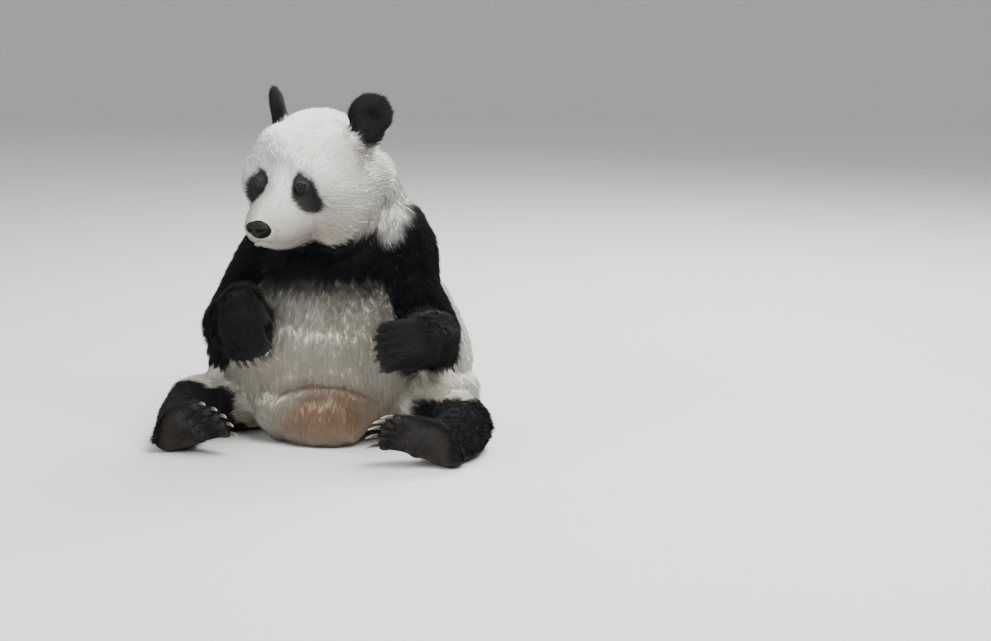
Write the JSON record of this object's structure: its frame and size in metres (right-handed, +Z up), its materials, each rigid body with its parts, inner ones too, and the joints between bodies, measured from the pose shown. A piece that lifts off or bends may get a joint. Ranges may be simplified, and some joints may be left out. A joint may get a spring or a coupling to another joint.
{
  "type": "giant panda",
  "caption": "Life-size still model of an adult giant panda sitting upright on its rump, hind legs splayed forward, forearms raised, head turned to its right.",
  "frame": {"origin": "middle of the bounding box's base, on the floor under the sitting animal", "axes": "+Z up, -Y the way the trunk and the hind feet face, +X the animal's left"},
  "size_m": [0.8482, 0.8558, 0.8768],
  "materials": {
    "white_fur": "long dense matt fur, white, yellowish in places",
    "cream_fur": "long dense matt fur, cream grading to grey-brown and rusty brown",
    "black_fur": "long dense fur, black with a soft bluish sheen",
    "claw": "smooth horn, dark at the root and pale at the tip",
    "eye": "wet, very dark brown iris",
    "nose": "moist pebbled leather, black"
  },
  "bodies": {
    "root": {"head": "white_fur", "neck": "white_fur", "tail": "white_fur", "belly": "cream_fur", "chest": "black_fur", "ear_left": "black_fur", "upper_arm_left": "black_fur", "forearm_left": "black_fur", "forepaw_left": "black_fur", "thigh_left": "black_fur", "shank_left": "black_fur", "foot_left": "black_fur", "eye_left": "eye", "ear_right": "black_fur", "upper_arm_right": "black_fur", "forearm_right": "black_fur", "forepaw_right": "black_fur", "thigh_right": "black_fur", "shank_right": "black_fur", "foot_right": "black_fur", "eye_right": "eye", "nose": "nose", "claw_forepaw_left_1": "claw", "claw_forepaw_left_2": "claw", "claw_forepaw_left_3": "claw", "claw_forepaw_left_4": "claw", "claw_forepaw_left_5": "claw", "claw_forepaw_right_1": "claw", "claw_forepaw_right_2": "claw", "claw_forepaw_right_3": "claw", "claw_forepaw_right_4": "claw", "claw_forepaw_right_5": "claw", "claw_foot_left_1": "claw", "claw_foot_left_2": "claw", "claw_foot_left_3": "claw", "claw_foot_left_4": "claw", "claw_foot_left_5": "claw", "claw_foot_right_1": "claw", "claw_foot_right_2": "claw", "claw_foot_right_3": "claw", "claw_foot_right_4": "claw", "claw_foot_right_5": "claw"}
  },
  "joints": []
}
